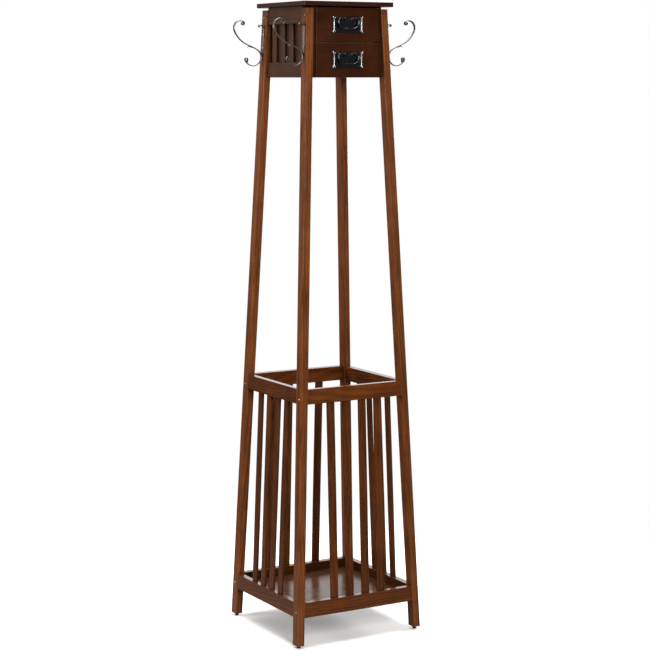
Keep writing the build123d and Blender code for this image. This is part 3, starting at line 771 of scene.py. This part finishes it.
def makeScrews():
    frameHead = modelScrewHead("frame")
    heads = []
    for corner in corners:
        for level in screwLevels.values():
            heads.append(copyTo(frameHead, legFace(corner, level, screwFromFace) @ outwards))
    finishPiece(joinAll(heads), "frameScrews", "frame", "frame_screw_bronze", metals["screwBronze"],
                "frame_screws")
    hookHead = modelScrewHead("hook")
    heads = []
    for corner in corners:
        for rise in strapScrewRises:
            offset = Matrix.Translation((strapThickness, 0, rise))
            heads.append(copyTo(hookHead, legFace(corner, hookPlan["height"]) @ offset @ outwards))
    finishPiece(joinAll(heads), "hookScrews", "frame", "hook_screw_steel", metals["screwSteel"],
                "hook_screws")
    pullHead = modelScrewHead("pull")
    for drawer in ("upper", "lower"):
        low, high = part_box(drawer + "_pull_screws")
        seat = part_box(drawer + "_drawer_front")[1].y
        radius = screwPlans["pull"]["radius"] * mm
        heads = []
        for x in (low.x + radius, high.x - radius):
            middle = Vector((x, seat, (low.z + high.z) / 2))
            place = Matrix.Translation(middle) @ Matrix.Rotation(-quarter, 4, "X")
            heads.append(copyTo(pullHead, place))
        finishPiece(joinAll(heads), drawer + "PullScrews", drawer + "_drawer", "pull_screw_steel",
                    metals["screwSteel"], drawer + "_pull_screws")
    for pattern in (frameHead, hookHead, pullHead):
        bpy.data.objects.remove(pattern)


makeScrews()
print("screws set")

# drawer pulls: cast plate, bone-shaped ends, hinge ears and a swinging bail

pullPlan = {
    # in mm
    "plateX": 46.5, "plateZ": 22.3, "plateThick": 2.5, "plateEase": 0.5,
    "field": 2.6, "sink": 0.7,                    # sunk field inside the plate's border
    "step": 1.2, "stepShare": 0.3,                # inset of the rise in the field; its share of the sink
    "barX": 45.2, "barRadius": 2.9, "barHalf": 18.0, "barLift": 0.6,
    "waist": 0.86, "waistHalf": 0.55,             # a bar's waist: share of its radius, and of its length
    "lobes": [(47.6, 20.4, 3.9), (40.9, 19.0, 3.1)], "lobeLift": 0.5,
    "castStep": 0.5, "castSmooth": 6,
    "earX": (13.4, 22.6), "earThick": 3.0, "earRadius": 4.6, "holeRadius": 2.7, "earEase": 0.7,
    "earRoot": 4.0,                               # an ear's back is stretched to the plate, less this
    "saddleLift": 1.2, "saddleRoot": 0.5, "saddleHalf": 4.2, "saddleEase": 0.6,
    "bailPin": 10.4, "bailRadius": 2.3,
    "bail": [(17.6, 0.0, 2.4, 2.4), (7.6, 90.0, 2.6, 2.6), (4.6, 0.0, 3.0, 3.0), (13.5, 42.0, 3.3, 3.3),
             (15.0, 48.0, 2.7, 2.7)],
    "bailMiddle": 2.9,
    "bailSteps": (1.8, 3.0),                      # along the bends, and along the straight middle
}


def addBox(low, high):
    # a block between two corners, in metres
    low, high = Vector(low), Vector(high)
    bpy.ops.mesh.primitive_cube_add(size=1, location=(low + high) / 2)
    block = bpy.context.object
    block.scale = high - low
    applyPlace()
    return block


def modelPlate(centre, hingePlace):
    plan = pullPlan
    back = centre.y
    front = back - plan["plateThick"] * mm
    halfX, halfZ = plan["plateX"] * mm, plan["plateZ"] * mm
    deselectAll()
    plate = addBox((-halfX, front, centre.z - halfZ), (halfX, back, centre.z + halfZ))
    editOn()
    pick(lambda middle, normal: normal.y < -0.9)
    bpy.ops.mesh.inset(thickness=plan["field"] * mm)
    bpy.ops.transform.translate(value=(0, plan["sink"] * mm, 0))
    bpy.ops.mesh.inset(thickness=plan["step"] * mm)
    bpy.ops.transform.translate(value=(0, -plan["stepShare"] * plan["sink"] * mm, 0))
    editOff()
    easeEdges(plan["plateEase"] * mm, 25)
    parts = [plate]

    for side in (-1, 1):
        deselectAll()
        barX, barY = side * plan["barX"] * mm, front - plan["barLift"] * mm
        bpy.ops.mesh.primitive_cylinder_add(vertices=24, radius=plan["barRadius"] * mm,
                                            depth=2 * plan["barHalf"] * mm,
                                            location=(barX, barY, centre.z))
        bone = [bpy.context.object]
        editOn()
        bpy.ops.mesh.select_all(action="SELECT")
        bpy.ops.mesh.subdivide(number_cuts=3)
        pick(lambda middle, normal: abs(middle.z) < plan["waistHalf"] * plan["barHalf"] * mm, "verts")
        bpy.ops.transform.resize(value=(plan["waist"], plan["waist"], 1),
                                 center_override=(barX, barY, centre.z))
        editOff()
        for lobeX, lobeZ, radius in plan["lobes"]:
            for rise in (-1, 1):
                place = (side * lobeX * mm, front - plan["lobeLift"] * mm, centre.z + rise * lobeZ * mm)
                bpy.ops.mesh.primitive_uv_sphere_add(segments=20, ring_count=12, radius=radius * mm,
                                                     location=place)
                bone.append(bpy.context.object)
        bone = joinAll(bone)
        applyPlace()
        modify("REMESH", mode="VOXEL", voxel_size=plan["castStep"] * mm)
        modify("SMOOTH", factor=0.5, iterations=plan["castSmooth"])
        bpy.ops.object.shade_smooth()
        parts.append(bone)

    for side in (-1, 1):
        earParts = []
        for earX in plan["earX"]:
            deselectAll()
            place = (side * earX * mm, hingePlace.y, hingePlace.z)
            bpy.ops.mesh.primitive_cylinder_add(vertices=40, radius=plan["earRadius"] * mm,
                                                depth=plan["earThick"] * mm, location=place,
                                                rotation=(0, quarter, 0))
            applyPlace()
            ear = bpy.context.object
            editOn("VERT")
            pick(lambda middle, normal: middle.y > hingePlace.y + 0.2 * mm, "verts")
            bpy.ops.transform.translate(value=(0, front - hingePlace.y - plan["earRoot"] * mm, 0))
            editOff()
            bpy.ops.mesh.primitive_cylinder_add(vertices=32, radius=plan["holeRadius"] * mm,
                                                depth=3 * plan["earThick"] * mm, location=place,
                                                rotation=(0, quarter, 0))
            cutWith(bpy.context.object, ear)
            easeEdges(plan["earEase"] * mm, 40)
            earParts.append(ear)
        deselectAll()
        inner, outer = sorted(side * earX * mm for earX in plan["earX"])
        half = plan["saddleHalf"] * mm
        saddle = addBox((inner, front - plan["saddleLift"] * mm, hingePlace.z - half),
                        (outer, front + plan["saddleRoot"] * mm, hingePlace.z + half))
        easeEdges(plan["saddleEase"] * mm, 40)
        parts += earParts + [saddle]
    plate = joinAll(parts)
    bpy.ops.object.shade_smooth_by_angle(angle=math.radians(40))
    return plate


def modelBail(hingePlace):
    plan = pullPlan
    radius = plan["bailRadius"]
    deselectAll()
    bpy.ops.mesh.primitive_circle_add(vertices=14, radius=radius, fill_type="NGON", location=(0, 0, 0))
    editOn()
    bpy.ops.mesh.select_all(action="SELECT")
    bpy.ops.transform.rotate(value=quarter, orient_axis="Y", center_override=(0, 0, 0))
    bpy.ops.transform.translate(value=(-plan["bailPin"], 0, 0))
    bendStep, middleStep = plan["bailSteps"]
    place, heading = drawBar((-plan["bailPin"], 0, 0), math.pi, (radius, radius), plan["bail"], bendStep)
    last, middle = plan["bail"][-1][2], plan["bailMiddle"]
    levelOut = (-place.x, math.degrees(math.tau - heading), middle, middle)
    drawBar(place, heading, (last, last), [levelOut], middleStep)
    bpy.ops.mesh.delete(type="ONLY_FACE")   # the face at the middle, where the two halves meet
    editOff()
    modify("MIRROR", use_axis=(True, False, False), use_mirror_merge=True, merge_threshold=0.05)
    bail = bpy.context.object
    bail.scale = (mm, mm, mm)
    bail.location = hingePlace
    applyPlace()
    cleanUp(60)
    modify("SUBSURF", levels=1, render_levels=1)
    bpy.ops.object.shade_smooth_by_angle(angle=math.radians(60))
    return bail


def makePulls():
    hinges = {j["child"]: Vector(j["pos_m"]) for j in frame["joints"] if j["type"] == "hinge"}
    low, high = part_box("upper_pull_plate")
    centre = Vector((0, high.y, (low.z + high.z) / 2))
    plate = modelPlate(centre, hinges["upper_bail"])
    bail = modelBail(hinges["upper_bail"])
    drop = Matrix.Translation(hinges["lower_bail"] - hinges["upper_bail"])
    lowerPlate, lowerBail = copyTo(plate, drop), copyTo(bail, drop)
    for drawer, plateHere, bailHere in (("upper", plate, bail), ("lower", lowerPlate, lowerBail)):
        finishPiece(plateHere, drawer + "PullPlate", drawer + "_drawer", "pull_black", metals["pullBlack"],
                    drawer + "_pull_plate")
        finishPiece(bailHere, drawer + "PullBail", drawer + "_bail", "pull_black", metals["pullBlack"],
                    drawer + "_pull_bail")


makePulls()
print("pulls cast")

# glides under the legs

glidePlan = {
    "rim": 5.6, "foot": 4.2, "collar": 6.0,       # radii in mm
    "footCurve": 0.45,                            # of the foot's radius
    "rimRise": 0.7, "collarRise": 0.78,           # of the glide's height
}


def makeGlides():
    low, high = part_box("glides")
    height = high.z - low.z
    rim, foot, collar = (glidePlan[k] * mm for k in ("rim", "foot", "collar"))
    turnIn = foot * glidePlan["footCurve"]
    curve = arcPoints((foot, turnIn), turnIn, -90, 0, 6)
    curve = [(r * rim / (foot + turnIn), z) for r, z in curve]
    profile = [(0, 0)] + curve + [(rim, height * glidePlan["rimRise"]),
                                  (collar, height * glidePlan["collarRise"]),
                                  (collar, height), (0, height)]
    pattern = spinProfile(profile, 32)
    made = []
    for corner in corners:
        legFoot = legLine(corner)[0]
        made.append(copyTo(pattern, Matrix.Translation((legFoot.x, legFoot.y, low.z))))
    bpy.data.objects.remove(pattern)
    finishPiece(joinAll(made), "footGlides", "frame", "glide_plastic", metals["glideBlack"], "glides")


makeGlides()
print("glides turned")

# floor, light and camera

studio = {
    "floorRadius": 2.6,
    "floorTones": ((0.90, 0.90, 0.905, 1), (0.94, 0.94, 0.94, 1)),
    "floorRoughness": 0.75,
    "floorBounce": (0.14, 0.14, 0.14, 1),         # what the wood sees, so that it doesn't wash out
    "floorGlow": 0.17,
    "floorFade": (0.7, 1.51),                     # solid up to the first radius, gone at the second
    "backdrop": (1.0, 1.0, 1.0, 1),
    "ambient": (0.11, 0.11, 0.12, 1),
}
lamps = [
    # name, place, aims at, size, watts, colour
    ("overhead", (0.0, 0.1, 3.9), (0.0, 0.0, 0.0), 2.4, 200.0, (1.0, 1.0, 1.0)),
    ("key", (-0.9, -3.6, 2.3), (0.0, 0.0, 1.0), 1.5, 113.0, (1.0, 0.97, 0.92)),
    ("leftFill", (-3.2, 1.2, 1.7), (0.0, 0.0, 0.9), 0.9, 48.0, (1.0, 0.97, 0.94)),
    ("rightFill", (3.2, 1.4, 1.6), (0.0, 0.0, 0.9), 0.9, 90.0, (1.0, 0.98, 0.97)),
    ("backLeft", (-2.2, 3.6, 1.7), (0.0, 0.0, 0.9), 2.0, 4.0, (1.0, 0.97, 0.96)),
    ("backRight", (2.3, 3.9, 1.5), (0.0, 0.0, 0.6), 3.0, 28.0, (1.0, 1.0, 1.0)),
]


def makeFloor():
    deselectAll()
    bpy.ops.mesh.primitive_circle_add(vertices=96, radius=studio["floorRadius"], fill_type="NGON")
    floor = bpy.context.object
    floor.name = "paleFloor"
    material, tree, shader = newMaterial("paleFloorPaint", **{
        "Roughness": studio["floorRoughness"], "Emission Color": studio["backdrop"],
        "Emission Strength": studio["floorGlow"]})
    place = put(tree, "TexCoord").outputs["Object"]
    speck = put(tree, "TexNoise", {"Vector": place, "Scale": 30.0, "Detail": 4.0})
    paint = blendColour(tree, speck.outputs["Fac"], *studio["floorTones"])
    seen = put(tree, "LightPath").outputs["Is Camera Ray"]
    paint = blendColour(tree, seen, studio["floorBounce"], paint)
    tree.links.new(paint, shader.inputs["Base Color"])
    away = put(tree, "VectorMath", {0: place}, operation="LENGTH").outputs["Value"]
    solid = remap(tree, away, *studio["floorFade"], 1.0, 0.0)
    tree.links.new(solid, shader.inputs["Alpha"])
    floor.data.materials.append(material)


def makeWorld():
    world = bpy.data.worlds.new("studio")
    bpy.context.scene.world = world
    world.use_nodes = True
    tree = world.node_tree
    output = tree.nodes["World Output"]
    seen = put(tree, "Background", {"Color": studio["backdrop"], "Strength": 1.0})
    lit = put(tree, "Background", {"Color": studio["ambient"], "Strength": 1.0})
    rays = put(tree, "LightPath")
    both = put(tree, "MixShader", {0: rays.outputs["Is Camera Ray"],
                                   1: lit.outputs[0], 2: seen.outputs[0]})
    tree.links.new(both.outputs[0], output.inputs["Surface"])


def makeLamps():
    for name, place, target, size, watts, colour in lamps:
        lamp = bpy.data.lights.new(name, "AREA")
        lamp.shape, lamp.size, lamp.energy, lamp.color = "SQUARE", size, watts, colour
        holder = bpy.data.objects.new(name, lamp)
        bpy.context.scene.collection.objects.link(holder)
        holder.location = place
        holder.rotation_euler = (Vector(target) - Vector(place)).to_track_quat("-Z", "Y").to_euler()
        holder.visible_camera = False


cameraPlan = {"azimuth": 29.98, "downTilt": 7.5, "distance": 5.431, "height": 1.612, "aside": 0.0016,
              "lens": 103.3}


def makeCamera():
    turn, tilt = math.radians(cameraPlan["azimuth"]), math.radians(cameraPlan["downTilt"])
    lens = bpy.data.cameras.new("studioCamera")
    lens.lens = cameraPlan["lens"]
    camera = bpy.data.objects.new("studioCamera", lens)
    bpy.context.scene.collection.objects.link(camera)
    right = Vector((math.cos(turn), -math.sin(turn), 0))
    back = Vector((-math.sin(turn), -math.cos(turn), 0))
    camera.location = back * cameraPlan["distance"] + right * cameraPlan["aside"]
    camera.location.z = cameraPlan["height"]
    camera.rotation_euler = (quarter - tilt, 0, -turn)
    bpy.context.scene.camera = camera


makeFloor()
makeWorld()
makeLamps()
makeCamera()
bpy.context.scene.view_settings.view_transform = "Standard"
print("studio ready")
